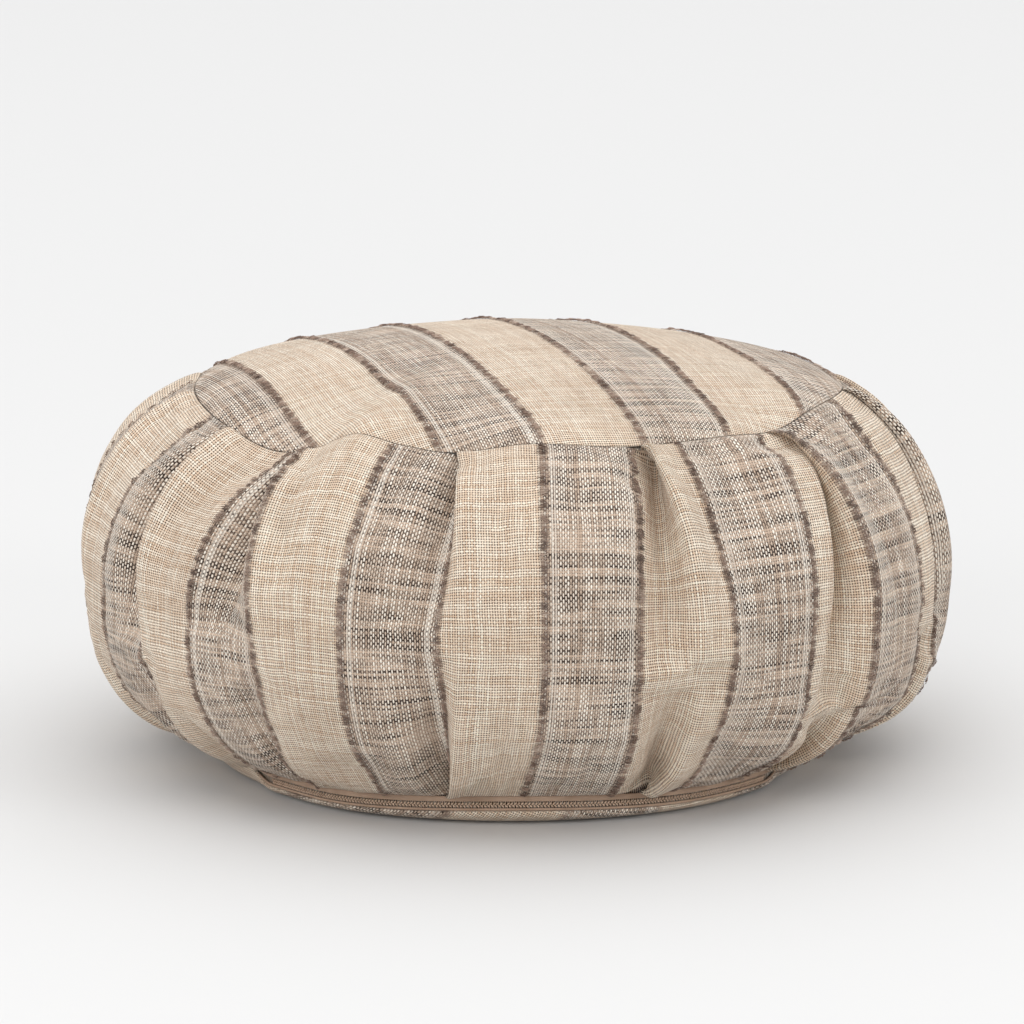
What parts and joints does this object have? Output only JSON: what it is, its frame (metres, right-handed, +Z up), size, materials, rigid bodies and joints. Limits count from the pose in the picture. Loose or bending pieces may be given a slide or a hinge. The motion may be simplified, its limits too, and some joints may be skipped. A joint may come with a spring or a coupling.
{
  "type": "zafu meditation cushion",
  "caption": "Round filled floor cushion: pleated striped side band, crowned round top panel, flat bottom panel and a coil zip in the bottom seam",
  "frame": {"origin": "centre of the flat round on which the cushion rests", "axes": "+Z up through the middle of the cushion; -Y is the pictured front with the zip; +X is the right-hand side in the picture"},
  "size_m": [0.4223, 0.4198, 0.2032],
  "materials": {
    "striped_cloth": "heavy plain-weave cloth in wide cream and taupe stripes, with a fuzzy brown yarn along each stripe's edge",
    "zip_tape": "tightly woven brown tape, matte",
    "zip_coil": "fine ribbed nylon coil, softly shiny"
  },
  "bodies": {
    "root": {"side_band": "striped_cloth", "top_panel": "striped_cloth", "bottom_panel": "striped_cloth", "zip_tape_upper": "zip_tape", "zip_tape_lower": "zip_tape", "zip_coil": "zip_coil"}
  },
  "joints": []
}
